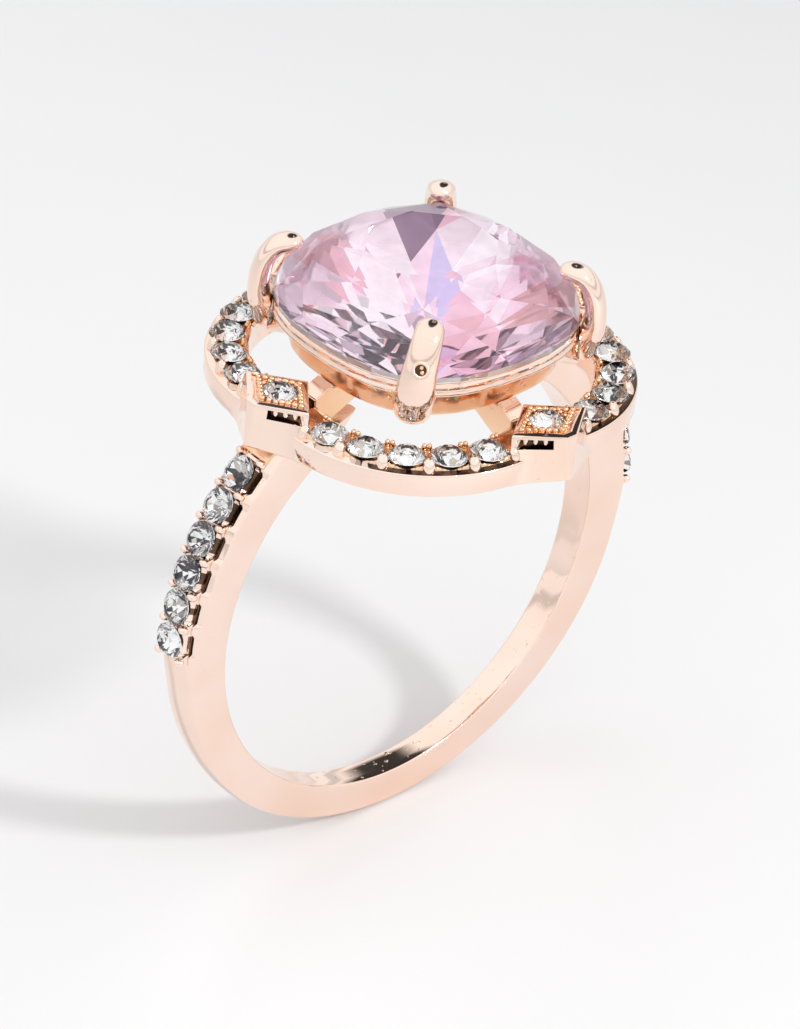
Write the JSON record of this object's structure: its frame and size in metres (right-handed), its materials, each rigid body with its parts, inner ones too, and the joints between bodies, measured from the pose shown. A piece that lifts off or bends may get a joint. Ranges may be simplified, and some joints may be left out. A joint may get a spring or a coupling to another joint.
{
  "type": "cocktail ring",
  "caption": "Tapered hoop with stone-set shoulders carrying an open scalloped halo of lobes and square panels round a raised, claw-held cushion-cut centre stone.",
  "frame": {"origin": "centre of the finger hole", "axes": "+Y along the finger, +Z towards the centre stone, +X across the hoop; claws and halo lobes on the diagonals between X and Y"},
  "size_m": [0.0222, 0.0158, 0.0239],
  "materials": {
    "rose_gold": "polished rose-gold plate, warm matt tone in the recesses",
    "clear_crystal": "faceted clear crystal, foil-backed",
    "pink_crystal": "faceted pale pink crystal, foil-backed"
  },
  "bodies": {
    "root": {"shank": "rose_gold", "halo_lobe_front_left": "rose_gold", "halo_lobe_front_right": "rose_gold", "halo_lobe_back_left": "rose_gold", "halo_lobe_back_right": "rose_gold", "halo_panel_left": "rose_gold", "halo_panel_right": "rose_gold", "halo_panel_front": "rose_gold", "halo_panel_back": "rose_gold", "bridge_left": "rose_gold", "bridge_right": "rose_gold", "bridge_front": "rose_gold", "bridge_back": "rose_gold", "gallery_wall": "rose_gold", "seat_rail": "rose_gold", "claw_front_left": "rose_gold", "claw_front_right": "rose_gold", "claw_back_left": "rose_gold", "claw_back_right": "rose_gold", "centre_stone": "pink_crystal", "lobe_stone_front_left_1": "clear_crystal", "lobe_stone_front_left_2": "clear_crystal", "lobe_stone_front_left_3": "clear_crystal", "lobe_stone_front_left_4": "clear_crystal", "lobe_stone_front_left_5": "clear_crystal", "lobe_stone_front_right_1": "clear_crystal", "lobe_stone_front_right_2": "clear_crystal", "lobe_stone_front_right_3": "clear_crystal", "lobe_stone_front_right_4": "clear_crystal", "lobe_stone_front_right_5": "clear_crystal", "lobe_stone_back_left_1": "clear_crystal", "lobe_stone_back_left_2": "clear_crystal", "lobe_stone_back_left_3": "clear_crystal", "lobe_stone_back_left_4": "clear_crystal", "lobe_stone_back_left_5": "clear_crystal", "lobe_stone_back_right_1": "clear_crystal", "lobe_stone_back_right_2": "clear_crystal", "lobe_stone_back_right_3": "clear_crystal", "lobe_stone_back_right_4": "clear_crystal", "lobe_stone_back_right_5": "clear_crystal", "panel_stone_left": "clear_crystal", "panel_stone_right": "clear_crystal", "panel_stone_front": "clear_crystal", "panel_stone_back": "clear_crystal", "shoulder_stone_left_1": "clear_crystal", "shoulder_stone_left_2": "clear_crystal", "shoulder_stone_left_3": "clear_crystal", "shoulder_stone_left_4": "clear_crystal", "shoulder_stone_left_5": "clear_crystal", "shoulder_stone_left_6": "clear_crystal", "shoulder_stone_right_1": "clear_crystal", "shoulder_stone_right_2": "clear_crystal", "shoulder_stone_right_3": "clear_crystal", "shoulder_stone_right_4": "clear_crystal", "shoulder_stone_right_5": "clear_crystal", "shoulder_stone_right_6": "clear_crystal"}
  },
  "joints": []
}
